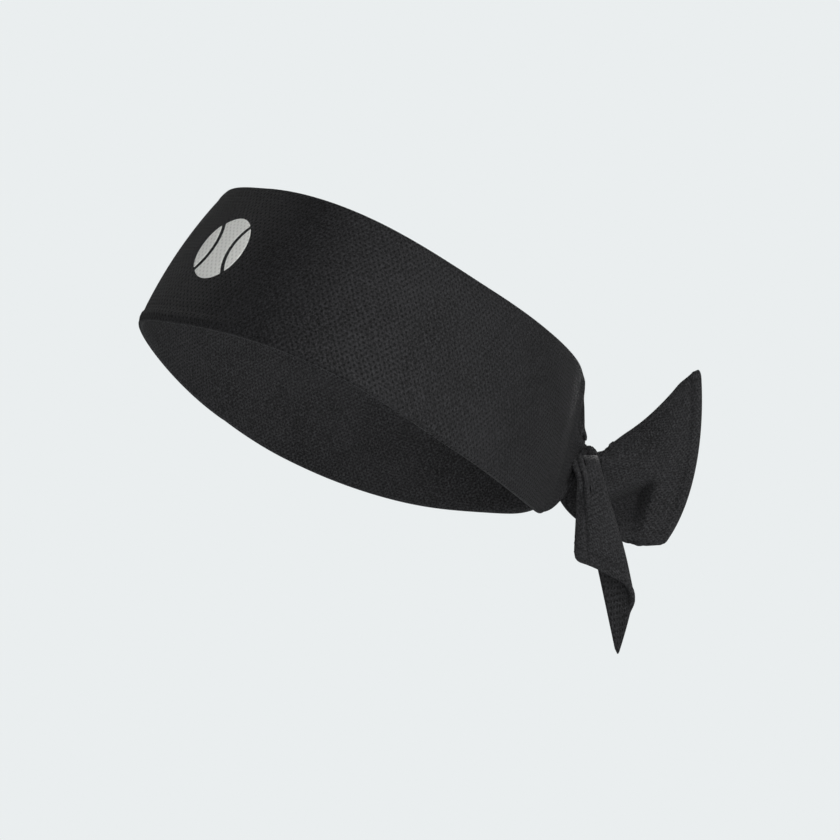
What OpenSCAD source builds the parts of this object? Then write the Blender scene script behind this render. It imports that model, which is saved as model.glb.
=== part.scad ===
// Tie headband: a sewn two-ply knit strip, worn as a closed band and tied behind the head.
// The band's ring is level. -Y is the forehead, +Y the knot, +X the wearer's left.
// The origin is the middle of the head opening. Lengths in millimetres, angles in degrees.

/* [Band] */
// Height of the worn band between its two edges at the forehead
band_h = 61; // [50:0.5:74]
// Reach of the head opening to each side, at the lower edge
half_w = 73; // [61:0.5:88]
// Reach of the head opening to the forehead, at the lower edge
front_l = 86; // [72:0.5:104]
// Reach of the head opening to where its sides meet behind
back_l = 118; // [98:0.5:142]
// Inward lean of the forehead wall between its lower and upper edge
front_lean = 14; // [0:0.5:18]
// Inward lean of each side wall
side_lean = 10; // [0:0.5:14]
// Inward lean of the wall's end behind
back_lean = 4; // [0:0.5:8]
// Dip of the lower edge over the ears
low_dip = 10; // [0:0.5:14]
// Dip of the upper edge over the ears
top_dip = 8.5; // [0:0.5:14]
// Height that the tie takes from one side and gives to the other
tie_twist = 2.5; // [0:0.5:4]
// Outward belly of the wall, halfway up
wall_belly = 2.4; // [0:0.2:4]

/* [Cloth] */
// Thickness of one knit ply
ply_t = 0.8; // [0.6:0.05:1.2]
// Slack between the face ply and the lining
ply_gap = 0.7; // [0.5:0.05:1]
// Thickness of the sewing thread
thread_d = 0.4; // [0.3:0.05:0.45]
// Distance of every seam line from the cloth edge
seam_in = 4.5; // [3:0.5:6]

/* [Emblem] */
// Diameter of the printed ball emblem on the forehead
emblem_d = 28; // [18:0.5:34]
// Width of the two curved seams left open across the ball
emblem_seam = 2; // [1:0.25:3]
// Radius of those curved seams
emblem_curve = 16; // [14:0.5:20]
// Thickness of the heat-pressed film
film_t = 0.2; // [0.1:0.05:0.3]
// Rise of the emblem's middle above the middle of the forehead
emblem_rise = 2; // [-8:0.5:8]

/* [Knot] */
// Distance of the knot's middle behind the meeting point of the sides
knot_back = 16; // [13:0.5:20]
// Height of the knot's middle above the middle of the forehead
knot_rise = 5; // [-4:0.5:8]
// Radius of the bundle that passes through the knot
core_r = 4; // [3.25:0.25:5]
// Length of that bundle
core_l = 14; // [12:0.5:17]
// Thickness of the cloth roll that is wound round the bundle
wrap_t = 3.2; // [2.6:0.1:3.8]
// Width of that roll
wrap_w = 7; // [5.5:0.25:8.5]

/* [Tails] */
// Forward tilt of the worn band, by which the tails hang off its own down direction
worn_pitch = 22; // [10:1:30]
// Direction of the tails' flat faces round the head
tail_yaw = 47; // [35:1:55]
// Length of the left tail below the knot, along its short edge
left_short = 43; // [36:0.5:52]
// Length of the left tail below the knot, along its long fold
left_mid = 60; // [54:0.5:68]
// Length of the left tail below the knot, to its point
left_long = 84; // [70:0.5:100]
// Width of the left tail's front layer at its widest
left_front_w = 22; // [18:0.5:26]
// Width of the left tail's layer behind the fold
left_back_w = 12; // [9:0.5:14]
// Reach of the right tail's pointed upper corner, out from the knot
right_tip_out = 44; // [37:0.5:53]
// Rise of that corner above the knot
right_tip_up = 37; // [30:0.5:45]
// Reach of the right tail's lower corner, out from the knot
right_heel_out = 33; // [27:0.5:40]
// Drop of that corner below the knot
right_heel_down = 38; // [32:0.5:46]
// Sag of the right tail's lower edge, back past the knot
right_sag = 14; // [10:0.5:17]
// Height of the wave in the right tail
right_wave = 3; // [0:0.25:4]

/* [Hidden] */

clear = 0.3;                        // free space between neighbours that touch on the real thing
front_power = 0.8;                  // squareness of the forehead curve, 1 is an ellipse
back_power = 2;                     // sharpness with which the sides run together behind
low_skew = 1.3;                     // how far behind the ears the lower edge dips most
top_skew = 0.8;                     // the same for the upper edge
wall_end = 160;                     // angle from the forehead at which the walls begin to gather
wall_step = 4;                      // angle between two columns of the wall
wall_rows = 6;                      // strips up the wall's height
face_off = (ply_t + ply_gap) / 2;   // middle of each ply from the middle of the cloth

knot_at = [0, back_l + knot_back, knot_rise];
down = [0, sin(worn_pitch), -cos(worn_pitch)];
side = [cos(tail_yaw), sin(tail_yaw) * cos(worn_pitch), sin(tail_yaw) * sin(worn_pitch)];
toward = cross(down, side);
wrap_r = core_r + clear + wrap_t / 2;
knot_r = wrap_r + wrap_t / 2;

// ---- points and grids ----
function unit(v) = v / norm(v);
function mix(a, b, f) = a + (b - a) * f;
function swell(f) = 4 * f * (1 - f);
function spow(x, p) = sign(x) * pow(abs(x), p);

// A grid is a list of rows of points. Its normals come from the neighbours of each point.
function step_of(g, i, j, di, dj) =
    let (r = len(g) - 1, c = len(g[0]) - 1)
    g[min(i + di, r)][min(j + dj, c)] - g[max(i - di, 0)][max(j - dj, 0)];
function normal_of(g, i, j) = unit(cross(step_of(g, i, j, 1, 0), step_of(g, i, j, 0, 1)));
function shifted(g, d) =
    [for (i = [0 : len(g) - 1]) [for (j = [0 : len(g[0]) - 1]) g[i][j] + normal_of(g, i, j) * d]];
function flat(g) = [for (row = g) each row];

// A closed sheet of cloth of thickness t whose middle is the grid g.
module cloth(g, t) {
    r = len(g);
    c = len(g[0]);
    n = r * c;
    points = concat(flat(shifted(g, t / 2)), flat(shifted(g, -t / 2)));
    upper = [for (i = [0 : r - 2], j = [0 : c - 2]) let (a = i * c + j)
             each [[a, a + 1, a + c + 1], [a, a + c + 1, a + c]]];
    lower = [for (f = upper) [f[2] + n, f[1] + n, f[0] + n]];
    rim = concat([for (j = [0 : c - 1]) j],
                 [for (i = [1 : r - 1]) i * c + c - 1],
                 [for (j = [c - 2 : -1 : 0]) (r - 1) * c + j],
                 [for (i = [r - 2 : -1 : 1]) i * c]);
    walls = [for (k = [0 : len(rim) - 1]) let (a = rim[k], b = rim[(k + 1) % len(rim)])
             each [[b, a, a + n], [b, a + n, b + n]]];
    polyhedron(points, concat(upper, lower, walls));
}

// A thread laid along points, with the cloth's normal at each point.
module thread(points, normals, d, sides = 6) {
    m = len(points);
    rings = [for (k = [0 : m - 1])
             let (t = unit(points[min(k + 1, m - 1)] - points[max(k - 1, 0)]),
                  b = unit(cross(t, normals[k])),
                  u = cross(b, t))
             for (q = [0 : sides - 1])
             points[k] + (b * cos(360 * q / sides) + u * sin(360 * q / sides)) * d / 2];
    body = [for (k = [0 : m - 2], q = [0 : sides - 1])
            let (a = k * sides + q, b = k * sides + (q + 1) % sides)
            each [[a, b + sides, a + sides], [a, b, b + sides]]];
    start = [for (q = [1 : sides - 2]) [0, q + 1, q]];
    last = (m - 1) * sides;
    end = [for (q = [1 : sides - 2]) [last, last + q, last + q + 1]];
    polyhedron(rings, concat(body, start, end));
}

// ---- the worn band ----
// a runs from -wall_end to wall_end round the head, n from 0 at the lower edge to 1 at the upper.
function plan_at(a, n) =
    cos(a) > 0
    ? [spow(sin(a), front_power) * (half_w - n * side_lean),
       -pow(cos(a), front_power) * (front_l - n * front_lean)]
    : [spow(sin(a), back_power) * (half_w - n * side_lean),
       -cos(a) * (back_l - n * back_lean)];
function plan_out(a, n) = let (t = plan_at(a + 0.5, n) - plan_at(a - 0.5, n)) unit([t.y, -t.x]);
function low_z(a) = -band_h / 2 - low_dip * pow(sin(a), 2) * (1 - low_skew * cos(a));
function top_z(a) = band_h / 2 - top_dip * pow(sin(a), 2) * (1 - top_skew * cos(a));
function band_at(a, n, off = 0) =
    let (p = plan_at(a, n) + plan_out(a, n) * (wall_belly * swell(n) + off))
    [p.x, p.y, mix(low_z(a), top_z(a), n) - tie_twist * sin(2 * a)];
function band_grid(off) =
    [for (a = [-wall_end : wall_step : wall_end])
     [for (k = [0 : wall_rows]) band_at(a, k / wall_rows, off)]];

module outer_ply() {
    color("#26262a") cloth(band_grid(face_off), ply_t);
}

module lining_ply() {
    color("#303034") cloth(band_grid(-face_off), ply_t);
}

module band_seam(n) {
    at = [for (a = [-wall_end : wall_step : wall_end]) a];
    color("#1c1c1e")
    thread([for (a = at) band_at(a, n)], [for (a = at) let (p = plan_out(a, n)) [p.x, p.y, 0]], thread_d);
}

module top_seam_thread() { band_seam(1 - seam_in / band_h); }

module bottom_seam_thread() { band_seam(seam_in / band_h); }

// ---- the emblem: a ball with two curved seams, in three pieces of film ----
// x is measured along the forehead and y up it, both from the emblem's middle.
function brow_at(x, y) =
    band_at(asin(spow(x / half_w, 1 / front_power)), 0.5 + (emblem_rise + y) / band_h,
            face_off + ply_t / 2 + clear / 4 + film_t / 2);

emblem_r = emblem_d / 2;
curve_mid = emblem_curve + emblem_r * 0.4;          // middle of each curved seam's circle
emblem_cols = 12;

// One film piece between two curves given as lists of x, row by row up the ball.
function film_rows(y0, y1) = [for (k = [0 : emblem_cols]) mix(y0, y1, k / emblem_cols)];
function ball_x(y) = sqrt(max(0, pow(emblem_r, 2) - y * y));
function seam_x(y, r) = curve_mid - sqrt(pow(r, 2) - y * y);
// Height at which a curved seam of radius r runs off the ball.
function seam_meets(r) =
    let (x = (pow(emblem_r, 2) - pow(r, 2) + pow(curve_mid, 2)) / (2 * curve_mid))
    sqrt(pow(emblem_r, 2) - x * x);

module film(rows, left, right) {
    color("#d8d8d2")
    cloth([for (k = [0 : len(rows) - 1])
           [for (j = [0 : 6]) brow_at(mix(left[k], right[k], j / 6), rows[k])]], film_t);
}

module emblem_middle() {
    r = emblem_curve + emblem_seam / 2;
    rows = film_rows(emblem_r * 0.99, -emblem_r * 0.99);
    edge = [for (y = rows) min(ball_x(y), abs(y) < seam_meets(r) ? seam_x(y, r) : emblem_r)];
    film(rows, -edge, edge);
}

module emblem_side(s) {
    r = emblem_curve - emblem_seam / 2;
    reach = seam_meets(r) - 0.1;
    rows = film_rows(reach * s, -reach * s);
    film(rows, [for (y = rows) seam_x(y, r) * s], [for (y = rows) ball_x(y) * s]);
}

module emblem_left() { emblem_side(1); }

module emblem_right() { emblem_side(-1); }

// ---- the gathers, where each end of the band is drawn into the knot ----
// f runs from the wall's end to the knot. The cloth runs back first and then turns in.
gather_h = 2 * core_r - 2;                          // height of the drawn-up cloth at the knot
gather_rows = 7;
gather_x = 2.6;                                      // each end's place beside the knot's middle

function gather_at(s, f, n) =
    let (from = band_at(s * wall_end, n),
         to = knot_at + [s * gather_x, -core_l / 2 - clear - ply_t, (n - 0.5) * gather_h],
         run = sin(90 * f), turn = mix(1 - cos(90 * f), f, 0.4 * n))
    [mix(from.x, to.x, run), mix(from.y, to.y, run), mix(from.z, to.z, turn)];
function gather_grid(s, off) =
    shifted([for (k = [0 : gather_rows])
             [for (j = [0 : wall_rows])
              gather_at(s, mix(0.06, 1, k / gather_rows), j / wall_rows)]], off * s);

module gather(s, off, tint) {
    color(tint) cloth(gather_grid(s, off), ply_t);
}

module left_gather_face() { gather(1, face_off, "#26262a"); }

module left_gather_lining() { gather(1, -face_off, "#303034"); }

module right_gather_face() { gather(-1, face_off, "#26262a"); }

module right_gather_lining() { gather(-1, -face_off, "#303034"); }

// ---- the knot ----
module knot_core() {
    color("#222225") translate(knot_at) rotate([-90, 0, 0])
    rotate_extrude($fn = 48)
    intersection() {
        scale(core_l / 2) circle(1, $fn = 48);
        translate([0, -core_l / 2]) square([core_r, core_l]);
    }
}

module knot_wrap() {
    color("#28282c") translate(knot_at) rotate([-90, 0, 0])
    rotate_extrude($fn = 48)
    translate([wrap_r, 0])
    union() {
        square([wrap_t, wrap_w - wrap_t], center = true);
        for (s = [-1, 1]) translate([0, s * (wrap_w - wrap_t) / 2]) circle(wrap_t / 2, $fn = 32);
    }
}

// ---- the tails ----
// v is measured along the tails' flat faces, u down from the knot, w toward the wearer's left.
function hang(v, u, w) = knot_at + side * v + down * u + toward * w;

throat_t = 2 * (ply_t + ply_gap);                   // thickness of a pinched tail
left_w = knot_r + clear + throat_t + 1;             // the left tail falls over the knot's left side
left_hinge = 15;                                    // below the knot, where the left tail swings
hinge_gap = 1.5;                                    // cloth left free on each side of a swing line
left_top = 1;                                       // where it leaves the knot
fold_r = ply_gap / 2 + 1.6 * ply_t + 0.6;           // radius of its long fold
fold_lean = 0.27;                                   // how far the fold runs sideways as it falls
left_fold = 6;                                      // its place at the knot
left_neck_w = 12;                                   // width of the left tail at the knot
fold_from = 0.55;                                   // share of the cloth in front of the fold
fold_to = 0.7;                                      // share up to where the back layer lies flat

function left_end(s) =
    s < fold_from ? mix(left_short, left_mid, pow(s / fold_from, 1.2))
    : mix(left_mid, left_long, pow((s - fold_from) / (1 - fold_from), 1.4));
function fold_v(u) = left_fold + fold_lean * u;
function front_v(u) = fold_v(u) - mix(left_neck_w, left_front_w, min(1, u / left_short));
function left_at(s, u) =
    let (in = fold_v(u) - fold_r)
    s < fold_from ? hang(mix(front_v(u), in, s / fold_from), u, left_w + fold_r)
    : s < fold_to
    ? let (t = 180 * (s - fold_from) / (fold_to - fold_from))
      hang(in + fold_r * sin(t), u, left_w + fold_r * cos(t))
    : hang(mix(in, fold_v(u) - left_back_w, (s - fold_to) / (1 - fold_to)), u, left_w - fold_r);
left_cols = 20;
function left_grid(off) =
    shifted([for (k = [0 : 10])
             [for (j = [0 : left_cols])
              let (s = j / left_cols)
              left_at(s, mix(left_hinge + hinge_gap, left_end(s), k / 10))]], off);

module left_throat() {
    color("#26262a")
    cloth([for (k = [0 : 4]) let (u = mix(left_top, left_hinge - hinge_gap, k / 4))
           [for (j = [0 : 4])
            hang(mix(front_v(u) + 3, fold_v(u) - 1, j / 4), u, left_w)]], throat_t);
}

module left_tail_face() {
    color("#26262a") cloth(left_grid(face_off), ply_t);
}

module left_tail_lining() {
    color("#303034") cloth(left_grid(-face_off), ply_t);
}

module left_tail_stitching() {
    lift = face_off + ply_t / 2 + thread_d / 2 + 0.05;
    path = concat(
        [for (u = [left_hinge + 2 : 4 : left_short - seam_in])
         hang(front_v(u) + seam_in, u, left_w + fold_r + lift)],
        [for (k = [1 : 6]) let (s = mix(0.22, 0.5, k / 6), u = left_end(s) - seam_in)
         hang(mix(front_v(u), fold_v(u) - fold_r, s / fold_from), u, left_w + fold_r + lift)]);
    color("#1c1c1e") thread(path, [for (p = path) toward], thread_d);
}

// The right tail is spread between four edges: the knot, its upper edge, its cut end and its lower
// edge, which sags back past the knot. f runs from the upper to the lower edge, g out to the end.
right_w = -2;                                       // it leaves the knot behind the left tail
right_hinge = 0.25;                                 // share of its reach where it swings
right_bow = 2;                                      // sag of its upper edge
right_cols = 16;
right_tip = [right_tip_out, -right_tip_up];
right_heel = [right_heel_out, right_heel_down];
right_top = [knot_r, 0];
right_foot = [knot_r - 3, 8];

function curve(p, t) =
    let (s = 1 - t) p[0] * s * s * s + p[1] * 3 * s * s * t + p[2] * 3 * s * t * t + p[3] * t * t * t;
function upper_edge(g) = mix(right_top, right_tip, g) + [0, right_bow * swell(g)];
function lower_edge(g) =
    curve([right_foot, right_foot + [-right_sag, 20], right_heel + [-28, 2], right_heel], g);
function cut_end(f) = curve([right_tip, right_tip + [5, 22], right_heel + [12, -18], right_heel], f);
function knot_side(f) = mix(right_top, right_foot, f);
function right_at(f, g, lift = 0) =
    let (p = mix(upper_edge(g), lower_edge(g), f) + mix(knot_side(f), cut_end(f), g)
             - mix(mix(right_top, right_foot, f), mix(right_tip, right_heel, f), g))
    hang(p.x, p.y, right_w + lift + right_wave * sin(300 * f + 60) * g);
function right_grid(off) =
    let (from = right_hinge + hinge_gap / norm(right_tip - right_top))
    shifted([for (k = [0 : 8])
             [for (j = [0 : right_cols]) right_at(j / right_cols, mix(from, 1, k / 8))]], off);

module right_throat() {
    gap = hinge_gap / norm(right_tip - right_top);
    color("#26262a")
    cloth([for (k = [0 : 3])
           [for (j = [0 : 4]) right_at(mix(0.1, 0.5, j / 4), mix(0.04, right_hinge - gap, k / 3))]],
          throat_t / 2);
}

module right_tail_face() {
    color("#26262a") cloth(right_grid(-face_off), ply_t);
}

module right_tail_lining() {
    color("#303034") cloth(right_grid(face_off), ply_t);
}

module right_tail_stitching() {
    lift = face_off + ply_t / 2 + thread_d / 2 + 0.1;
    inset = seam_in / norm(right_tip - right_top);
    path = [for (j = [0 : 20]) right_at(mix(0.08, 0.94, j / 20), 1 - inset, lift)];
    color("#1c1c1e") thread(path, [for (p = path) toward], thread_d);
}

outer_ply();
lining_ply();
top_seam_thread();
bottom_seam_thread();
emblem_middle();
emblem_left();
emblem_right();
left_gather_face();
left_gather_lining();
right_gather_face();
right_gather_lining();
knot_core();
knot_wrap();
left_throat();
left_tail_face();
left_tail_lining();
left_tail_stitching();
right_throat();
right_tail_face();
right_tail_lining();
right_tail_stitching();
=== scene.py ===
import math

import bmesh
import bpy
import numpy as np
from mathutils import Matrix, Vector


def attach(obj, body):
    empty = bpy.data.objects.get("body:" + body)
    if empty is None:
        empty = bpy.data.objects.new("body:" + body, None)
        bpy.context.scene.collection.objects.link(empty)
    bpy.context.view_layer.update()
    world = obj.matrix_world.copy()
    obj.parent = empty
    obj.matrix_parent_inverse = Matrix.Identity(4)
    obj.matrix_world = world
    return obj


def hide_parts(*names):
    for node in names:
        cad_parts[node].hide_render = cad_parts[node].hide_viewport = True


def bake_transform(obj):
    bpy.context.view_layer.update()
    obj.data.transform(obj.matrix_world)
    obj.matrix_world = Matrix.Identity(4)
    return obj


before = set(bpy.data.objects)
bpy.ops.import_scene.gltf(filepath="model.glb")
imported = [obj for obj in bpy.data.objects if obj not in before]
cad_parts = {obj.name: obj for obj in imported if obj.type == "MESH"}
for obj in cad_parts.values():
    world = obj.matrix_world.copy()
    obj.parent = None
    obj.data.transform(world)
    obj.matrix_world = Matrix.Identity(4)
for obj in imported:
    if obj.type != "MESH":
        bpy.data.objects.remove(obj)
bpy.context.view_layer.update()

mm = 0.001


# Shapes are worked out in millimetres and degrees.
def mix(a, b, f):
    return a + (b - a) * f


def ease(low, high, x):
    t = np.clip((x - low) / (high - low), 0, 1)
    return t * t * (3 - 2 * t)


def swell(f):
    return 4 * f * (1 - f)


def signedPower(x, p):
    return np.sign(x) * np.abs(x) ** p


def unit(v):
    return v / np.maximum(np.linalg.norm(v, axis=-1, keepdims=True), 1e-9)


def sind(a):
    return np.sin(np.radians(a))


def cosd(a):
    return np.cos(np.radians(a))


def bezier(p, t):
    t = np.asarray(t)[..., None]
    s = 1 - t
    a, b, c, d = (np.array(q, float) for q in p)
    return a * s**3 + 3 * b * s * s * t + 3 * c * s * t * t + d * t**3


# How far along a line of points each one lies.
def runAlong(line):
    return np.concatenate([[0], np.cumsum(np.linalg.norm(np.diff(line, axis=0), axis=-1))])


# Normals of a grid of points; columns run across the cloth, rows along it.
def gridNormals(p):
    return unit(np.cross(np.gradient(p, axis=0), np.gradient(p, axis=1)))


# A socket that takes arithmetic; each operator adds a Math node.
class Wire:
    def __init__(self, tree, socket):
        self.tree, self.socket = tree, socket

    def node(self, kind, inputs, out=0, **settings):
        n = self.tree.nodes.new(kind)
        for key, value in settings.items():
            setattr(n, key, value)
        for key, value in inputs.items():
            if isinstance(value, Wire):
                self.tree.links.new(value.socket, n.inputs[key])
            else:
                n.inputs[key].default_value = value
        return Wire(self.tree, n.outputs[out])

    def maths(self, operation, *values):
        return self.node("ShaderNodeMath", dict(enumerate(values)), operation=operation)

    def __add__(self, other):
        return self.maths("ADD", self, other)

    def __sub__(self, other):
        return self.maths("SUBTRACT", self, other)

    def __rsub__(self, other):
        return self.maths("SUBTRACT", other, self)

    def __mul__(self, other):
        return self.maths("MULTIPLY", self, other)

    __radd__, __rmul__ = __add__, __mul__

    def fract(self):
        return self.maths("FRACT", self)

    def wave(self):
        return self.maths("SINE", self * (2 * math.pi))

    def above(self, floor=0.0):
        return self.maths("MAXIMUM", self, floor)

    def mixed(self, share, low, high):
        return self.node("ShaderNodeMix", {0: share, 6: low, 7: high}, out=2, data_type="RGBA")

    def blend(self, low, high):
        return self.mixed(self, (*low, 1), (*high, 1))

    def noise(self, place, scale, detail):
        return self.node("ShaderNodeTexNoise", {"Vector": place, "Scale": scale, "Detail": detail})

    def bump(self, height):
        return self.node("ShaderNodeBump", {"Height": height, "Distance": mm, "Strength": 1.0})


def newMaterial(name):
    material = bpy.data.materials.new(name)
    material.use_nodes = True
    tree = material.node_tree
    return material, tree.nodes["Principled BSDF"], Wire(tree, None)


def plug(wire, shader, name):
    wire.tree.links.new(wire.socket, shader.inputs[name])


# Staggered dimples: 1 in the middle of a dimple, 0 on the cloth between.
def dimples(x, y, wide, high):
    total = 0
    for shift in (0.0, 0.5):
        across = ((x + shift).fract() - 0.5) * (1 / wide)
        along = ((y + shift).fract() - 0.5) * (1 / high)
        shadedDimple = (1 - (across * across + along * along)).above()
        total = shadedDimple * shadedDimple * (3 - 2 * shadedDimple) + total
    return total


# Pitches, widths, depths and heights of the knit are in millimetres; scales are noise per metre.
# the dimple colour and its share are painted shade in the dimples
faceKnit = {"pitchAlong": 2.3, "pitchAcross": 3.2, "dimpleWide": 0.27, "dimpleHigh": 0.2,
            # the loop share is a painted highlight on the loop crests, and the lint colour is both
            # real lint and that painted highlight
            "dimpleDeep": 0.28, "dimpleShadeShare": 0.6, "loopHigh": 0.06, "crestHighlightShare": 0.25,
            "fuzzHigh": 0.2, "fuzzScale": 1400.0, "fuzzShare": 3.4, "drift": 0.6,
            "driftScale": 60.0, "patchScale": 45.0, "rough": 0.66, "specular": 0.16,
            "sheen": 0.02, "sheenRough": 0.45, "yarn": (0.0020, 0.0020, 0.0022),
            "shadedDimple": (0.0012, 0.0012, 0.0014), "lintAndHighlight": (0.0250, 0.0250, 0.0270)}
# the lining copies the face knit with a finer knit, and its yarn and lint are painted lighter:
# painted light on the inside of the band
liningKnit = {**faceKnit, "pitchAlong": 1.9, "pitchAcross": 2.4, "dimpleDeep": 0.1,
              "loopHigh": 0.09, "yarn": (0.0040, 0.0040, 0.0043), "lintAndHighlight": (0.0400, 0.0400, 0.0425),
              "sheen": 0.04}


# Where a point lies in the repeat of the knit, and how deep in a dimple.
def repeat(start, size):
    cloth = start.node("ShaderNodeUVMap", {}, uv_map="cloth")
    x = start.node("ShaderNodeSeparateXYZ", {0: cloth}, out=0)
    y = start.node("ShaderNodeSeparateXYZ", {0: cloth}, out=1)
    place = start.node("ShaderNodeTexCoord", {}, out=3)
    # a slow drift keeps the rows from being ruled straight
    drift = start.noise(place, size["driftScale"], 1.0)
    x = x * (1000 / size["pitchAlong"]) + drift * size["drift"]
    y = y * (1000 / size["pitchAcross"]) + drift * size["drift"]
    return place, x, y, dimples(x, y, size["dimpleWide"], size["dimpleHigh"])


def knitMaterial(name, size):
    material, shader, start = newMaterial(name)
    place, x, y, shadedDimple = repeat(start, size)
    # three wales and five courses of small V loops to each dimple
    slant = start.maths("PINGPONG", x * 3, 0.5)
    loop = (y * 5 + slant * 1.6).wave() * 0.5 + 0.5
    fuzz = start.noise(place, size["fuzzScale"], 4.0)
    patch = start.noise(place, size["patchScale"], 3.0)
    height = (loop * size["loopHigh"] + fuzz * size["fuzzHigh"]) - shadedDimple * size["dimpleDeep"]
    plug(start.bump(height), shader, "Normal")
    # the loop crests are painted lighter as a painted highlight; the fuzz adds random tone
    light = (loop * size["crestHighlightShare"] + fuzz * size["fuzzShare"] - size["fuzzShare"] / 2
             + 0.2).above()
    base = light.blend(size["yarn"], size["lintAndHighlight"])
    # patches where more lint shows
    worn = (patch * 1.4 - 0.45).above()
    linty = start.mixed(worn, base, (*size["lintAndHighlight"], 1))
    # the dimples are painted darker in the colour: painted shade in the hollows of the knit
    deep = start.mixed(shadedDimple * size["dimpleShadeShare"], start.mixed(0.5, base, linty),
                       (*size["shadedDimple"], 1))
    plug(deep, shader, "Base Color")
    plug(shadedDimple * 0.2 - fuzz * 0.2 + size["rough"], shader, "Roughness")
    shader.inputs["Specular IOR Level"].default_value = size["specular"]
    shader.inputs["Sheen Weight"].default_value = size["sheen"]
    shader.inputs["Sheen Roughness"].default_value = size["sheenRough"]
    return material


# the darker film colour is painted shade in the dimples under the film
filmLook = {"bare": (0.88, 0.885, 0.85), "shadedDip": (0.68, 0.685, 0.66), "grainScale": 1800.0,
            "grainHigh": 0.02, "dimpleDeep": 0.2, "rough": 0.42}


# Film pressed into the knit: the dimples show through it, painted darker in the film as painted
# shade.
def filmMaterial(name):
    look = filmLook
    material, shader, start = newMaterial(name)
    place, _, _, shadedDimple = repeat(start, faceKnit)
    grain = start.noise(place, look["grainScale"], 2.0)
    plug(start.bump(grain * look["grainHigh"] - shadedDimple * look["dimpleDeep"]), shader, "Normal")
    # darker in the dimples as painted shade, and varied by the grain as random tone
    shadedDip = (shadedDimple * 0.8 + (grain - 0.5) * 0.3).above()
    plug(shadedDip.blend(look["bare"], look["shadedDip"]), shader, "Base Color")
    plug(grain * 0.15 + look["rough"], shader, "Roughness")
    return material


# the light and dark thread colours are a painted highlight on the twist's crests and painted shade
# in its grooves
threadLook = {"light": (0.009, 0.009, 0.0095), "dark": (0.004, 0.004, 0.0045), "ply": 2600.0,
              "fuzzScale": 5000.0, "twistHigh": 0.06, "rough": 0.45}


def threadMaterial(name):
    look = threadLook
    material, shader, start = newMaterial(name)
    place = start.node("ShaderNodeTexCoord", {}, out=3)
    twist = start.node("ShaderNodeTexWave", {"Vector": place, "Scale": look["ply"],
                                             "Distortion": 2.0, "Detail": 1.0},
                       out=1, bands_direction="DIAGONAL")
    fuzz = start.noise(place, look["fuzzScale"], 2.0)
    # the twist's crests are painted lighter and its grooves darker: painted shade between the
    # plies
    plug(twist.blend(look["dark"], look["light"]), shader, "Base Color")
    plug(fuzz * 0.2 + look["rough"], shader, "Roughness")
    plug(start.bump(twist * look["twistHigh"]), shader, "Normal")
    return material


floorLook = {"low": (0.78, 0.80, 0.81), "high": (0.82, 0.84, 0.85), "grainScale": 6.0,
             "rough": 0.75}


def floorMaterial(name):
    look = floorLook
    material, shader, start = newMaterial(name)
    place = start.node("ShaderNodeTexCoord", {}, out=3)
    grain = start.noise(place, look["grainScale"], 3.0)
    plug(grain.blend(look["low"], look["high"]), shader, "Base Color")
    plug(grain * 0.1 + look["rough"], shader, "Roughness")
    return material


faceCloth = knitMaterial("faceKnit", faceKnit)
liningCloth = knitMaterial("liningKnit", liningKnit)
emblemFilm = filmMaterial("emblemFilm")
sewingThread = threadMaterial("sewingThread")
print("materials made")


def newObject(name, points, faces, material, uv=None, normals=None):
    mesh = bpy.data.meshes.new(name)
    mesh.from_pydata((np.asarray(points) * mm).tolist(), [], faces)
    mesh.materials.append(material)
    mesh.polygons.foreach_set("use_smooth", [True] * len(mesh.polygons))
    if uv is not None:
        layer = mesh.uv_layers.new(name="cloth")
        corner = np.zeros(len(mesh.loops), np.int32)
        mesh.loops.foreach_get("vertex_index", corner)
        layer.data.foreach_set("uv", (np.asarray(uv)[corner] * mm).astype(np.float32).ravel())
    mesh.update()
    if normals is not None:
        mesh.normals_split_custom_set_from_vertices(np.asarray(normals).tolist())
    obj = bpy.data.objects.new(name, mesh)
    bpy.context.scene.collection.objects.link(obj)
    return obj


def quads(rows, cols):
    corners = (i * cols + j for i in range(rows - 1) for j in range(cols - 1))
    return [(a, a + 1, a + 1 + cols, a + cols) for a in corners]


# A closed shell of cloth: the outer grid, and the same grid moved in by the thickness.
def shell(name, grid, normals, uv, thick, material):
    rows, cols = grid.shape[:2]
    n = rows * cols
    outer = quads(rows, cols)
    a, b, c = (grid[k] for k in ((0, 0), (1, 0), (0, 1)))
    outward = np.dot(np.cross(b - a, c - a), normals[0, 0]) > 0
    faces = [f[::-1] for f in outer] if outward else outer
    faces = faces + [tuple(v + n for v in f[::-1]) for f in faces]
    rim = ([(0, j) for j in range(cols)] + [(i, cols - 1) for i in range(1, rows)]
           + [(rows - 1, j) for j in range(cols - 2, -1, -1)]
           + [(i, 0) for i in range(rows - 2, 0, -1)])
    rim = [i * cols + j for i, j in rim]
    for k, p in enumerate(rim):
        q = rim[(k + 1) % len(rim)]
        faces.append((p, q, q + n, p + n) if outward else (q, p, p + n, q + n))
    flat, nor = grid.reshape(-1, 3), normals.reshape(-1, 3)
    points = np.concatenate([flat, flat - nor * thick])
    uv = uv.reshape(-1, 2)
    return newObject(name, points, faces, material, np.concatenate([uv, uv]),
                     np.concatenate([nor, -nor]))


# Angles round a rolled edge at which the face and the lining have a line of points.
faceTurn = (98, 80, 60, 40, 20)
liningTurn = (104, 122, 140, 160)


# Lines of points across a ply: the flat part, with a roll at either edge. Each is the line of
# the cloth's middle, the reach past the edge, the share of the half thickness, and the side.
def turnIn(count, angles, flatShare, ends):
    low = [(0, sind(t), cosd(t), -1) for t in angles]
    high = [(count - 1, sind(t), cosd(t), 1) for t in angles[::-1]]
    flat = [(k, 0.0, flatShare, 0) for k in range(count)]
    return (low if ends[0] else []) + flat + (high if ends[1] else [])


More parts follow.
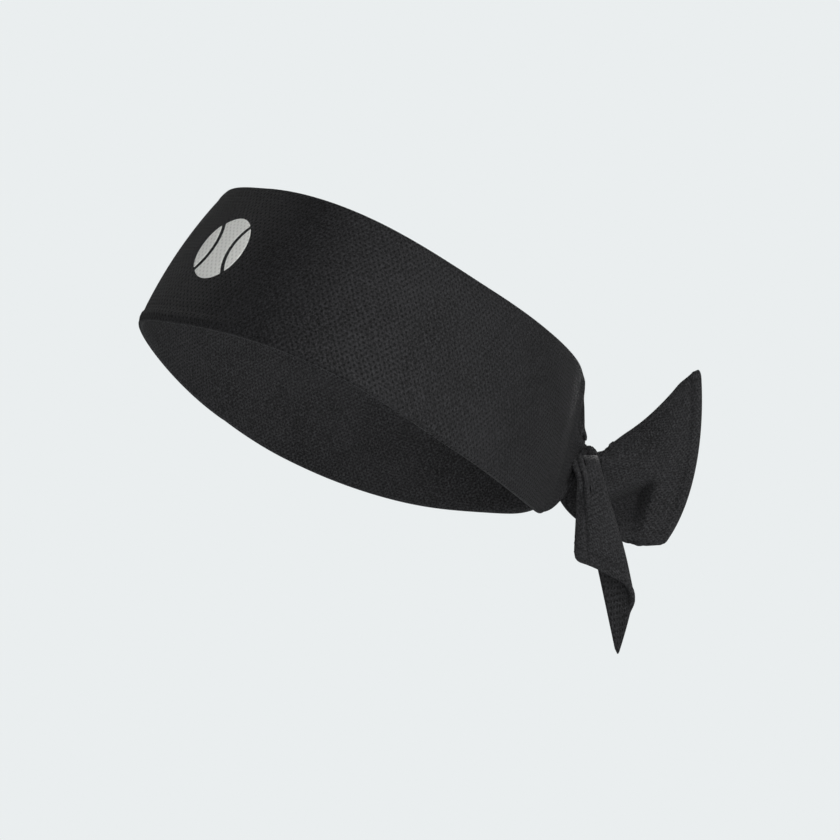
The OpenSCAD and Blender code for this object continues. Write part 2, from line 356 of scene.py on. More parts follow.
# The outer side of one ply over the middle of a cloth: a grid, its normals and its UVs.
def ply(middle, uv, half, roll, isFace, endRolls):
    rows, cols = middle.shape[:2]
    normal = gridNormals(middle)
    alongRow = unit(np.gradient(middle, axis=0))
    alongCol = unit(np.gradient(middle, axis=1))
    angles, flatShare = (faceTurn, 1.0) if isFace else (liningTurn, -1.0)
    rowList = turnIn(rows, angles, flatShare, endRolls)
    colList = turnIn(cols, angles, flatShare, (True, True))
    ri, re, rc, rs = (np.array(x) for x in zip(*rowList))
    ci, ce, cc, cs = (np.array(x) for x in zip(*colList))
    pick = np.ix_(ri, ci)
    share = rc[:, None] + cc[None, :] - flatShare
    limit = cosd(angles[0])
    share = np.maximum(share, limit) if isFace else np.minimum(share, limit)
    grid = (middle[pick] + normal[pick] * (half[pick] * share)[..., None]
            + alongCol[pick] * (roll * ce * cs)[None, :, None]
            + alongRow[pick] * (roll * re * rs)[:, None, None])
    turned = np.stack([uv[pick][..., 0] + (re * rs * roll * 1.4)[:, None],
                       uv[pick][..., 1] + (ce * cs * roll * 1.4)[None, :]], -1)
    normals = gridNormals(grid) * (1 if isFace else -1)
    return grid, normals, turned


# UVs by length along the middle column and by length across each row.
def clothUv(middle):
    across = np.linalg.norm(np.diff(middle, axis=1), axis=-1)
    centre = middle.shape[1] // 2
    u = runAlong(middle[:, centre])
    v = np.concatenate([np.zeros((len(middle), 1)), np.cumsum(across, axis=1)], axis=1)
    v = v - v[:, centre:centre + 1]
    return np.stack([np.repeat(u[:, None], middle.shape[1], 1), v], -1)


# The band as worn: its height, half width, and reach to the forehead and to the tie.
band = {"height": 61.0, "halfWide": 73.0, "front": 86.0, "back": 118.0,
        "frontLean": 14.0, "sideLean": 10.0, "backLean": 4.0,
        "lowDip": 10.0, "topDip": 8.5, "lowSkew": 1.3, "topSkew": 0.8,
        "tieTwist": 2.5, "belly": 2.4, "frontPower": 0.8, "backPower": 2.0,
        "wallEnd": 160.0, "rearLift": 2.2, "liftFrom": 132.0, "liftTo": 158.0,
        "half": 1.15, "roll": 1.3, "plyThick": 0.5, "columnStep": 1.7, "rows": 44,
        "seamIn": 4.5, "seamPuff": 0.6, "seamCrease": 0.35, "easeFrom": 100.0}
knot = {"middle": np.array([0.0, band["back"] + 16, 5.0]), "coreLong": 14.0, "wrapThick": 3.2,
        "wrapWide": 7.0, "gatherX": 2.6, "gatherY": -6.1, "gatherHigh": 6.0}


# The band's outline: a is the angle round from the forehead, n the share of its height.
def planAt(a, n):
    s, c = sind(a), cosd(a)
    wide = band["halfWide"] - n * band["sideLean"]
    x = np.where(c > 0, signedPower(s, band["frontPower"]), signedPower(s, band["backPower"]))
    y = np.where(c > 0, -np.abs(c) ** band["frontPower"] * (band["front"] - n * band["frontLean"]),
                 -c * (band["back"] - n * band["backLean"]))
    return np.stack([x * wide, y], -1)


def planOut(a, n):
    t = planAt(a + 0.5, n) - planAt(a - 0.5, n)
    return unit(np.stack([t[..., 1], -t[..., 0]], -1))


def bandAt(a, n, off=0.0):
    a, n = np.broadcast_arrays(np.asarray(a, float), np.asarray(n, float))
    p = planAt(a, n) + planOut(a, n) * (band["belly"] * swell(n) + off)[..., None]
    low = -band["height"] / 2 - band["lowDip"] * sind(a) ** 2 * (1 - band["lowSkew"] * cosd(a))
    top = band["height"] / 2 - band["topDip"] * sind(a) ** 2 * (1 - band["topSkew"] * cosd(a))
    z = mix(low, top, n) - band["tieTwist"] * sind(2 * a)
    z = z + band["rearLift"] * (1 - n) * ease(band["liftFrom"], band["liftTo"], np.abs(a))
    return np.concatenate([p, z[..., None]], -1)


# Slack in the worn cloth: slow waves, held flat at the forehead and growing toward the tie.
def slack(a, n):
    loose = ease(40, 150, np.abs(a))
    lean = 0.55 * sind(a * 3.1 + 150 * n) * sind(180 * n * 1.2 + 20)
    return loose * lean + 0.18 * sind(a * 5 + 70 + 200 * n)


# f runs from the wall's end to the knot, on side s. The lower edge runs back into a beak first.
gather = {"columns": 44, "beak": 0.9, "beakUp": 0.62, "pleat": 1.0, "pleats": 4.0,
          "crease": 0.62, "creaseDeep": 3.2, "ridge": 0.8, "easeStep": 0.5, "easeOver": 9.0,
          "thin": 0.6}


def gatherAt(s, f, n):
    start = bandAt(s * band["wallEnd"], n, slack(s * band["wallEnd"], n))
    end = knot["middle"] + np.stack([n * 0 + s * knot["gatherX"], n * 0 + knot["gatherY"],
                                     (n - 0.5) * knot["gatherHigh"]], -1)
    low = 1 - ease(0.0, 0.55, n)
    run = sind(90 * f) ** mix(1.0, gather["beak"], low)
    turn = mix(1 - cosd(90 * f) ** mix(1.0, gather["beakUp"], low), f, 0.4 * n)
    return np.stack([mix(start[..., 0], end[..., 0], run), mix(start[..., 1], end[..., 1], run),
                     mix(start[..., 2], end[..., 2], turn)], -1)


# Folds that the tie draws into each gather: pleats, and a crease above which the cloth turns in.
def gatherFolds(s, f, n):
    g = gather
    fold = g["pleat"] * ease(0.2, 1.0, f) * sind(360 * g["pleats"] * n + 40 * s)
    over = g["creaseDeep"] * ease(g["crease"], g["crease"] + 0.1, n) * ease(0.0, 0.45, f)
    ridge = g["ridge"] * np.exp(-((n - g["crease"] + 0.04) / 0.05) ** 2) * ease(0.05, 0.4, f)
    return s * (fold + ridge - over * (1 - 0.6 * ease(0.8, 1, f)))


# One row of cloth from the side of the head to the knot, eased to an even bend.
def eased(line, keep):
    g = gather
    length = runAlong(line)
    even = np.arange(0, length[-1], g["easeStep"])
    q = np.stack([np.interp(even, length, line[:, k]) for k in range(3)], -1)
    reach = int(3 * g["easeOver"] / g["easeStep"])
    bell = np.exp(-0.5 * (np.arange(-reach, reach + 1) * g["easeStep"] / g["easeOver"]) ** 2)
    bell /= bell.sum()
    first, last = 2 * q[0] - q[reach:0:-1], 2 * q[-1] - q[-2:-reach - 2:-1]
    padded = np.concatenate([first, q, last])
    soft = np.stack([np.convolve(padded[:, k], bell, "valid") for k in range(3)], -1)
    soft = np.stack([np.interp(length, even, soft[:, k]) for k in range(3)], -1)
    return mix(line, soft, keep[:, None])


def bandMiddle():
    dense = np.linspace(-band["wallEnd"], band["wallEnd"], 2001)
    line = bandAt(dense, 0.5)
    length = runAlong(line)
    count = int(length[-1] / band["columnStep"])
    a = np.interp(np.linspace(0, length[-1], count), length, dense)
    n = np.linspace(0, 1, band["rows"] + 1)
    aa, nn = np.meshgrid(a, n, indexing="ij")
    wall = bandAt(aa, nn, slack(aa, nn))
    f = np.linspace(0, 1, gather["columns"] + 1)[1:]
    ff, gn = np.meshgrid(f, n, indexing="ij")
    k = gather["columns"]
    middle = np.concatenate([gatherAt(-1, ff, gn)[::-1], wall, gatherAt(1, ff, gn)])
    # ease each side from behind the ear to the knot, then lay the folds in
    ear = int(np.searchsorted(a, band["easeFrom"]))
    tail = len(a) - ear + k
    keep = ease(0, 14, np.arange(tail)) * (1 - ease(tail - 8, tail - 1, np.arange(tail)))
    for j in range(len(n)):
        middle[-tail:, j] = eased(middle[-tail:, j], keep)
        middle[:tail, j] = eased(middle[:tail, j][::-1], keep)[::-1]
    middle[-k:, :, 0] += gatherFolds(1, ff, gn)
    middle[:k, :, 0] += gatherFolds(-1, ff, gn)[::-1]
    return middle


bandGrid = bandMiddle()
bandUv = clothUv(bandGrid)
bandUv[..., 0] -= bandUv[len(bandUv) // 2, 0, 0]
rowShare = np.linspace(0, 1, band["rows"] + 1)
edgeIn = np.minimum(rowShare, rowShare[::-1]) * band["height"]
# the seam allowance inside puffs out each edge and ends in a faint crease
seamIn = band["seamIn"]
puff = (band["seamPuff"] * ease(0, 1.2, edgeIn) * (1 - ease(seamIn - 1.4, seamIn, edgeIn))
        - band["seamCrease"] * np.exp(-((edgeIn - seamIn - 0.2) / 0.7) ** 2))
# the puff shows most along the lower edge over the forehead, and all of it thins at the knot
where = np.degrees(np.arctan2(bandGrid[..., 0], -bandGrid[..., 1]))
lower = (np.arange(band["rows"] + 1) < band["rows"] / 2)[None, :]
shows = 0.25 + 0.75 * ease(-45, -15, where) * (1 - ease(8, 26, where)) * lower
bandHalf = band["half"] + puff[None, :] * shows
thinned = mix(gather["thin"], 1.0, ease(0, 1, np.linspace(1, 0, gather["columns"])))
bandHalf[:gather["columns"]] *= thinned[::-1, None]
bandHalf[-gather["columns"]:] *= thinned[:, None]


def clothPiece(name, middle, uv, half, roll, thick, isFace, endRolls=(False, False),
               rowRange=slice(None)):
    grid, normals, turned = (x[rowRange] for x in ply(middle, uv, half, roll, isFace, endRolls))
    return shell(name, grid, normals, turned, thick, faceCloth if isFace else liningCloth)


bandFace, bandLining = (
    clothPiece(name, bandGrid, bandUv, bandHalf, band["roll"], band["plyThick"], isFace)
    for name, isFace in (("bandFacePly", True), ("bandLiningPly", False)))
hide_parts("outer_ply", "left_gather_face", "right_gather_face")
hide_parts("lining_ply", "left_gather_lining", "right_gather_lining")
for piece, slotName in ((bandFace, "face_knit"), (bandLining, "lining_knit")):
    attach(piece, "band")
print("band made", len(bandFace.data.polygons), "faces")


# The emblem: a ball with two curved seams, pressed on the forehead.
emblem = {"wide": 28.0, "seam": 2.0, "curve": 16.0, "rise": 2.0, "film": 0.18, "thinEdge": 0.3,
          "clear": 0.05, "rows": 44, "columns": 30}


# A point of the emblem, x across and y up from its middle, laid on the band.
def browAt(x, y, off):
    a = np.degrees(np.arcsin(signedPower(x / band["halfWide"], 1 / band["frontPower"])))
    n = 0.5 + (emblem["rise"] + y) / band["height"]
    p = bandAt(a, n, slack(a, n) + band["half"] + off)
    return p, a, n


def filmPiece(name, node, rows, left, right):
    cols = emblem["columns"]
    y = np.repeat(rows[:, None], cols + 1, 1)
    x = mix(left[:, None], right[:, None], np.linspace(0, 1, cols + 1)[None, :])
    # the pressed edge thins out
    edge = np.ones_like(x)
    edge[:, 0] = edge[:, -1] = emblem["thinEdge"]
    grid, a, n = browAt(x, y, emblem["film"] * edge)
    normals = gridNormals(grid)
    if normals[0, 0, 1] > 0:
        normals = -normals
    dense = np.linspace(-60, 60, 1201)
    line = bandAt(dense, 0.5)
    length = runAlong(line)
    length -= length[len(length) // 2]
    tall = bandUv[len(bandUv) // 2, -1, 1] - bandUv[len(bandUv) // 2, 0, 1]
    uv = np.stack([np.interp(a, dense, length), (n - 0.5) * tall], -1)
    piece = shell(name, grid, normals, uv, emblem["film"], emblemFilm)
    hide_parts(node)
    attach(piece, "band")


# the ball's outline, and the seams' arcs, which are centred to either side of it
ball = emblem["wide"] / 2
curveMiddle = emblem["curve"] + ball * 0.4


def ballX(y):
    return np.sqrt(np.maximum(0, ball**2 - y * y))


def seamX(y, r):
    return curveMiddle - np.sqrt(np.maximum(0, r**2 - y * y))


def seamMeets(r):
    x = (ball**2 - r**2 + curveMiddle**2) / (2 * curveMiddle)
    return math.sqrt(ball**2 - x * x)


steps = np.sin(np.linspace(-math.pi / 2, math.pi / 2, emblem["rows"] + 1))
innerR, outerR = emblem["curve"] - emblem["seam"] / 2, emblem["curve"] + emblem["seam"] / 2
rowsMid = steps * ball * 0.998
edgeX = np.where(np.abs(rowsMid) < seamMeets(outerR),
                 np.minimum(ballX(rowsMid), seamX(rowsMid, outerR)), ballX(rowsMid))
filmPiece("emblemMiddleFilm", "emblem_middle", rowsMid, -edgeX, edgeX)
rowsSide = steps * (seamMeets(innerR) - emblem["clear"])
filmPiece("emblemLeftFilm", "emblem_left", rowsSide, seamX(rowsSide, innerR), ballX(rowsSide))
filmPiece("emblemRightFilm", "emblem_right", rowsSide, -ballX(rowsSide), -seamX(rowsSide, innerR))
print("emblem made")


knotLook = {"drop": 3.0, "outer": 5.4, "turns": 3, "around": 144, "across": 40, "groove": 0.7,
            "wrinkle": 0.25, "bundleRows": 48, "bundleAround": 96, "bundlePleat": 0.7}


# Rings of points round the knot's axis, which runs along Y; ends may be closed.
def ringObject(name, rings, material, closedAcross):
    rows, cols = rings.shape[:2]
    faces = []
    for i in range(rows if closedAcross else rows - 1):
        for j in range(cols):
            a, b = i * cols + j, i * cols + (j + 1) % cols
            c, d = (i + 1) % rows * cols + (j + 1) % cols, (i + 1) % rows * cols + j
            faces.append((a, b, c, d))
    if not closedAcross:
        faces.append(tuple(range(cols))[::-1])
        faces.append(tuple(range((rows - 1) * cols, rows * cols)))
    across = np.linalg.norm(np.diff(rings, axis=0), axis=-1)
    around = np.linalg.norm(np.roll(rings, -1, 1) - rings, axis=-1)
    u = np.concatenate([np.zeros((rows, 1)), np.cumsum(around, 1)[:, :-1]], 1)
    v = np.concatenate([np.zeros((1, cols)), np.cumsum(across, 0)], 0)
    uv = np.stack([u, v], -1).reshape(-1, 2)
    obj = newObject(name, rings.reshape(-1, 3), faces, material, uv)
    bm = bmesh.new()
    bm.from_mesh(obj.data)
    bmesh.ops.recalc_face_normals(bm, faces=bm.faces)
    bm.to_mesh(obj.data)
    bm.free()
    return obj


def knotWrap():
    k = knotLook
    turn = np.linspace(0, 360, k["around"], endpoint=False)
    across = np.linspace(0, 360, k["across"], endpoint=False)
    tt, rr = np.meshgrid(turn, across, indexing="xy")
    halfWide, halfThick = knot["wrapWide"] / 2, knot["wrapThick"] / 2
    # a superellipse section, drawn in where the folds of the roll lie and twisted as it goes round
    yy = halfWide * signedPower(cosd(rr), 0.75)
    zz = halfThick * signedPower(sind(rr), 0.75)
    outer = ease(-0.2, 0.8, sind(rr))
    lay = yy / halfWide
    groove = np.abs(sind(90 * k["turns"] * lay + 60 * sind(tt + 30) + 35))
    zz = zz - outer * k["groove"] * (1 - groove) ** 2
    zz = zz + outer * k["wrinkle"] * sind(tt * 7 + 90 * lay) * sind(tt * 2 + 40)
    bulge = 1 + 0.10 * sind(2 * tt + 50) + 0.05 * sind(5 * tt)
    yy = yy * (1 + 0.16 * sind(tt - 60) ** 3) + 0.9 * sind(tt + 20)
    radius = k["outer"] - halfThick + zz * bulge
    rings = knot["middle"] + np.stack([radius * sind(tt), yy, radius * cosd(tt) - k["drop"]], -1)
    obj = ringObject("knotWrapRoll", rings, faceCloth, True)
    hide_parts("knot_wrap")
    return obj


def knotBundle():
    k = knotLook
    along = np.linspace(-0.985, 0.985, k["bundleRows"])
    turn = np.linspace(0, 360, k["bundleAround"], endpoint=False)
    tt, yy = np.meshgrid(turn, along, indexing="xy")
    radius = (k["outer"] - 2.2) * np.sqrt(1 - yy**2) ** 0.8
    pleat = k["bundlePleat"] * np.abs(sind(tt * 3.5 + 30 * sind(90 * yy)))
    pleat = pleat * ease(0.3, 0.9, np.abs(yy))
    radius = radius * (1 + 0.12 * sind(2 * tt)) - pleat * 0.6
    radius = np.maximum(radius, 0.3)
    rings = knot["middle"] + np.stack([radius * sind(tt), yy * knot["coreLong"] / 2,
                                       radius * cosd(tt) - k["drop"]], -1)
    obj = ringObject("knotBundle", rings, faceCloth, False)
    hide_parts("knot_core")
    return obj


for piece in (knotWrap(), knotBundle()):
    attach(piece, "band")
print("knot made")


# What the two tails share: how they hang, and their hems.
tails = {"pitch": 22.0, "yaw": 47.0, "half": 1.1, "roll": 1.2, "plyThick": 0.45, "groove": 0.5,
         "hemPuff": 0.3}
down = np.array([0.0, sind(tails["pitch"]), -cosd(tails["pitch"])])
side = np.array([cosd(tails["yaw"]), sind(tails["yaw"]) * cosd(tails["pitch"]),
                 sind(tails["yaw"]) * sind(tails["pitch"])])
toward = np.cross(down, side)


# v is measured along the tails' flat faces, u down from the knot, w toward the wearer's left.
def hang(v, u, w):
    v, u, w = np.broadcast_arrays(*(np.asarray(q, float) for q in (v, u, w)))
    return knot["middle"] + v[..., None] * side + u[..., None] * down + w[..., None] * toward


leftTail = {"lie": 12.8, "short": 45.3, "middle": 53.8, "long": 86.5, "corner": 3.0,
            "backWide": 12.0, "backNarrow": 0.5, "fold": 6.0, "foldLean": 0.27,
            "foldDraw": 3.0, "free": -3.5, "freeFlare": 4.2, "foldRadius": 2.23,
            "foldFrom": 0.55, "foldTo": 0.7, "curlFrom": 9.0, "curlOver": 7.0,
            "top": 2.0, "split": 10.0, "neckRows": 22, "rows": 74, "columns": 96,
            "pleatDeep": 5.5, "pleatRipple": 1.8, "pleatEnd": 36.0, "crown": 0.9,
            "neckBend": ((0, -2), (0, 5)), "tailBend": ((3, 12), (3, 18))}


# How far down the cut end reaches, at share s across the cloth.
def leftEnd(s):
    t = leftTail
    before = mix(t["short"], t["middle"], np.clip(s / t["foldFrom"], 0, 1) ** 1.6)
    past = np.clip((s - t["foldFrom"]) / (1 - t["foldFrom"]), 0, 1)
    end = np.where(s < t["foldFrom"], before, mix(t["middle"], t["long"], past ** 0.85))
    # the sewn corners turn out round
    for near in (s / 0.09, (1 - s) / 0.05):
        end = end - t["corner"] * (1 - np.sqrt(1 - np.clip(1 - near, 0, 1) ** 2))
    return end


# The fold on one side of the front layer, and its free selvage on the other.
def leftFold(u):
    t = leftTail
    return t["fold"] + t["foldLean"] * u - t["foldDraw"] * (1 - ease(2, 48, u))


def leftFree(u):
    t = leftTail
    return t["free"] - t["freeFlare"] * (1 - ease(0, 12, u))


def leftAt(s, u):
    t = leftTail
    fold, front = leftFold(u), leftFree(u)
    inside = fold - t["foldRadius"]
    lie = t["lie"] + 0 * u
    # over the top of the knot the cloth curls in toward it
    curl = np.clip((t["curlFrom"] - u) / t["curlOver"], 0, 1)
    lie = lie - t["curlFrom"] * (1 - np.sqrt(1 - curl**2 * 0.998))
    turn = 180 * (s - t["foldFrom"]) / (t["foldTo"] - t["foldFrom"])
    sheet = np.clip(s / t["foldFrom"], 0, 1)
    backWide = t["backWide"] * mix(t["backNarrow"], 1, ease(9, 34, u))
    back = np.clip((s - t["foldTo"]) / (1 - t["foldTo"]), 0, 1)
    v = np.where(s < t["foldFrom"], mix(front, inside, sheet),
                 np.where(s < t["foldTo"], inside + t["foldRadius"] * sind(turn),
                          mix(inside, fold - backWide, back)))
    w = np.where(s < t["foldFrom"], t["foldRadius"],
                 np.where(s < t["foldTo"], t["foldRadius"] * cosd(turn), -t["foldRadius"]))
    # pleats drawn from the knot down the free side of the front layer
    fade = 1 - ease(6, t["pleatEnd"], u)
    free = np.clip(1 - sheet / 0.5, 0, 1)
    groove = 0.5 - 0.5 * cosd(360 * 2.6 * sheet + 8 * sind(6 * u))
    drawn = fade * (t["pleatRipple"] * (1 - groove) * (1 - ease(0.4, 0.6, sheet))
                    - free * t["pleatDeep"] * ease(11, 22, u))
    drawn = drawn + t["crown"] * swell(sheet) * (1 - 0.6 * fade)
    drawn = drawn + 0.5 * sind(9 * u + 200 * sheet) * ease(20, 40, u) * (1 - sheet)
    w = w + np.where(s < t["foldFrom"], drawn, 0)
    return hang(v, u, lie + w)


def leftMiddle():
    t = leftTail
    s = np.linspace(0, 1, t["columns"] + 1)
    top = np.linspace(t["top"], t["split"], t["neckRows"] + 1)
    low = np.linspace(0, 1, t["rows"] + 1)[1:]
    u = np.concatenate([np.repeat(top[:, None], len(s), 1),
                        mix(t["split"], leftEnd(s)[None, :], low[:, None])])
    return leftAt(np.repeat(s[None, :], len(u), 0), u)


rightTail = {"lie": -2.0, "top": (7.5, 0.0), "foot": (3.0, 8.0), "tip": (45.6, -39.4),
             "heel": (34.0, 39.5), "bow": 2.0, "wave": 3.0, "lowA": (-28.0, 9.5),
             "lowB": (-4.0, 41.5), "endA": (48.6, -14.0), "endB": (49.0, 19.0),
             "corner": 0.055, "stub": 0.12, "stubAt": (1.5, 3.0), "stubRun": (-1.0, 3.0),
             "neckRows": 22, "rows": 76, "columns": 96, "foldDeep": 8.5, "behind": 6.5,
             "split": 0.13, "neckBend": ((3, 3), (9, 2)), "hingeTop": (16.6, -7.75),
             "hingeLow": (-0.9, 21.4), "bendHalf": 3.0}


# f runs from the tail's upper edge to its lower one, g from the knot to the cut end.
def rightAt(f, g):
    t = rightTail
    top, foot, tip, heel = (np.array(t[k]) for k in ("top", "foot", "tip", "heel"))
    # the sewn corners turn out round
    for near in (f / 0.07, (1 - f) / 0.03):
        turned = 1 - np.sqrt(1 - np.clip(1 - near, 0, 1) ** 2)
        g = g - t["corner"] * np.maximum(g, 0) ** 6 * turned
    gc = np.clip(g, 0, 1)
    upper = mix(top, tip, gc[..., None]) + np.stack([gc * 0, t["bow"] * swell(gc)], -1)
    lower = bezier((foot, t["lowA"], t["lowB"], heel), gc)
    knotSide = mix(top, foot, f[..., None])
    cutEnd = bezier((tip, t["endA"], t["endB"], heel), f)
    corners = mix(knotSide, mix(tip, heel, f[..., None]), gc[..., None])
    p = mix(upper, lower, f[..., None]) + mix(knotSide, cutEnd, gc[..., None]) - corners
    # inside the knot the cloth narrows to a stub
    stub = np.clip(-g / t["stub"], 0, 1)[..., None]
    p = mix(p, np.array(t["stubAt"]) + (f[..., None] - 0.5) * np.array(t["stubRun"]), stub)
    v, u = p[..., 0], p[..., 1]
    w = t["lie"] + t["wave"] * sind(300 * f + 60) * gc
    # the part that sags below the knot passes behind it
    w = w - t["behind"] * ease(8, -2, v) * ease(1, 7, u)
    # a deep fold runs out from the knot, under a ridge, and dies away before the cut end
    under = u - (22 - 0.46 * v)
    step = ease(-1, 7, under) * (1 - 0.85 * ease(7, 24, under))
    w = w - t["foldDeep"] * step * (1 - ease(25, 32, v + 0.2 * under)) * ease(-2, 10, v)
    # small folds fan out from the knot
    fan = np.degrees(np.arctan2(u - 2, v + 6))
    w = w + 0.55 * sind(fan * 9) * ease(0.02, 0.2, g) * (1 - ease(0.3, 0.75, g))
    return hang(v, u, w)


def rightMiddle():
    t = rightTail
    f = np.linspace(0, 1, t["columns"] + 1)
    g = np.concatenate([np.linspace(-t["stub"], t["split"], t["neckRows"] + 1),
                        np.linspace(t["split"], 1, t["rows"] + 1)[1:]])
    gg, ff = np.meshgrid(g, f, indexing="ij")
    return rightAt(ff, gg)


# Both plies of a tail and of its neck.
# grooveTo is the share of the cloth, across, that shows its stitched hem.
def tailPieces(label, t, middle, grooveTo, tailBend, flip):
    neckRows = t["neckRows"]
    uv = clothUv(middle)
    rows, cols = middle.shape[:2]
    half = np.full((rows, cols), tails["half"])
    inset = runAlong(middle[rows // 2])
    inset = np.minimum(inset, inset[-1] - inset)
    groove = tails["groove"] * np.exp(-((inset - seamIn) / 0.5) ** 2)[None, :]
    along = np.linalg.norm(np.diff(middle[::-1], axis=0), axis=-1)
    below = np.concatenate([np.cumsum(along, axis=0)[::-1], np.zeros((1, cols))])
    hem = tails["groove"] * np.exp(-((below - seamIn) / 0.5) ** 2)
    edge = np.minimum(inset[None, :], below)
    stitched = (np.linspace(0, 1, cols) < grooveTo)[None, :]
    puff = tails["hemPuff"] * ease(0, 1.2, edge) * (1 - ease(2.6, 4, edge))
    half = half - np.maximum(groove, hem) * stitched + puff
    if flip:
        middle, uv, half = middle[:, ::-1], uv[:, ::-1], half[:, ::-1]
    parts = (("Neck", slice(0, neckRows + 1), t["neckBend"], ("band", f"{label}_neck")),
             ("Tail", slice(neckRows, None), tailBend, (f"{label}_neck", f"{label}_tail")))
    made = []
    for isFace in (True, False):
        what = "Face" if isFace else "Lining"
        for part, rowRange, bend, bodies in parts:
            start, end = (hang(*p, t["lie"]) for p in bend)
            piece = clothPiece(f"{label}{part}{what}Ply", middle, uv, half, tails["roll"],
                               tails["plyThick"], isFace, (False, True), rowRange)
            tuple(start * mm)
            tuple(end * mm)
            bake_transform(piece)
            if part == "Tail":
                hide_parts(f"{label}_tail_{what.lower()}")
            elif isFace:
                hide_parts(f"{label}_throat")
            made.append(piece)
    return made


leftPieces = tailPieces("left", leftTail, leftMiddle(), leftTail["foldFrom"],
                        leftTail["tailBend"], True)
print("left tail made")
# points either side of a slanting line across the right tail
hingeTop, hingeLow = (np.array(rightTail[k]) for k in ("hingeTop", "hingeLow"))
hingeMiddle, hingeLine = (hingeTop + hingeLow) / 2, unit(hingeLow - hingeTop)
pastHinge = rightTail["bendHalf"] * np.array([hingeLine[1], -hingeLine[0]])
rightPieces = tailPieces("right", rightTail, rightMiddle(), 1.1,
                         (hingeMiddle - pastHinge, hingeMiddle + pastHinge), False)
print("right tail made")


# Each run of stitches is from one share across the cloth to another, or down from edgeTop.
stitch = {"pitch": 2.6, "length": 1.9, "thick": 0.34, "sunk": 0.3, "edgeTop": 19.0,
          "leftHem": (0.115, 0.545), "rightSpan": 52.0, "rightHem": (0.05, 0.93),
          "rightEdge": 0.955, "rightEdgeFrom": 0.5}


# Stitches along a wire: flat beads, spaced evenly and turned to follow it.
def stitchTree():
    tree = bpy.data.node_groups.new("stitchLine", "GeometryNodeTree")
    face = tree.interface
    face.new_socket("Geometry", in_out="INPUT", socket_type="NodeSocketGeometry")
    for name in ("Pitch", "Length", "Thickness"):
        face.new_socket(name, in_out="INPUT", socket_type="NodeSocketFloat")
    face.new_socket("Material", in_out="INPUT", socket_type="NodeSocketMaterial")
    face.new_socket("Geometry", in_out="OUTPUT", socket_type="NodeSocketGeometry")
    nodes, link = tree.nodes, tree.links.new

    def add(kind, **settings):
        n = nodes.new(kind)
        for key, value in settings.items():
            setattr(n, key, value)
        return n

    given, out = add("NodeGroupInput"), add("NodeGroupOutput")
    curve = add("GeometryNodeMeshToCurve")
    spaced = add("GeometryNodeResampleCurve", mode="LENGTH")
    link(given.outputs["Geometry"], curve.inputs[0])
    link(curve.outputs[0], spaced.inputs["Curve"])
    link(given.outputs["Pitch"], spaced.inputs["Length"])
    bead = add("GeometryNodeMeshUVSphere")
    for key, value in (("Segments", 8), ("Rings", 6), ("Radius", 0.5)):
        bead.inputs[key].default_value = value
    size = add("ShaderNodeCombineXYZ")
    link(given.outputs["Length"], size.inputs[0])
    link(given.outputs["Thickness"], size.inputs[1])
    link(given.outputs["Thickness"], size.inputs[2])
    stretch = add("GeometryNodeTransform")
    link(bead.outputs["Mesh"], stretch.inputs["Geometry"])
    link(size.outputs[0], stretch.inputs["Scale"])
    tangent = add("GeometryNodeInputTangent")
    align = add("FunctionNodeAlignRotationToVector", axis="X")
    link(tangent.outputs[0], align.inputs["Vector"])
    put = add("GeometryNodeInstanceOnPoints")
    link(spaced.outputs[0], put.inputs["Points"])
    link(stretch.outputs[0], put.inputs["Instance"])
    link(align.outputs[0], put.inputs["Rotation"])
    real = add("GeometryNodeRealizeInstances")
    link(put.outputs[0], real.inputs[0])
    smooth = add("GeometryNodeSetShadeSmooth")
    link(real.outputs[0], smooth.inputs[0])
    paint = add("GeometryNodeSetMaterial")
    link(smooth.outputs[0], paint.inputs[0])
    link(given.outputs["Material"], paint.inputs["Material"])
    link(paint.outputs[0], out.inputs[0])
    return tree


stitching = stitchTree()


def stitchLine(name, lines, body, cadNode):
    points, edges = [], []
    for line in lines:
        base = len(points)
        points += (np.asarray(line) * mm).tolist()
        edges += [(base + k, base + k + 1) for k in range(len(line) - 1)]
    mesh = bpy.data.meshes.new(name + "Path")
    mesh.from_pydata(points, edges, [])
    path = bpy.data.objects.new(name + "Path", mesh)
    bpy.context.scene.collection.objects.link(path)
    modifier = path.modifiers.new("stitches", "NODES")
    modifier.node_group = stitching
    values = {"Pitch": stitch["pitch"] * mm, "Length": stitch["length"] * mm,
              "Thickness": stitch["thick"] * mm, "Material": sewingThread}
    for item in stitching.interface.items_tree:
        if item.in_out == "INPUT" and item.name in values:
            modifier[item.identifier] = values[item.name]
    bpy.context.view_layer.update()
    ready = path.evaluated_get(bpy.context.evaluated_depsgraph_get())
    baked = bpy.data.meshes.new_from_object(ready)
    piece = bpy.data.objects.new(name, baked)
    bpy.context.scene.collection.objects.link(piece)
    bpy.data.objects.remove(path)
    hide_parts(cadNode)
    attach(piece, body)


# A line of stitches just under the outside of a tail's front, on its side toward the ear.
def stitchRow(at, s, u):
    step = 1e-3
    p = at(s, u)
    out = unit(np.cross(at(s, u + step) - p, at(s + step, u) - p))
    lift = tails["half"] - stitch["sunk"]
    return p + out * (lift if (out @ toward).mean() > 0 else -lift)


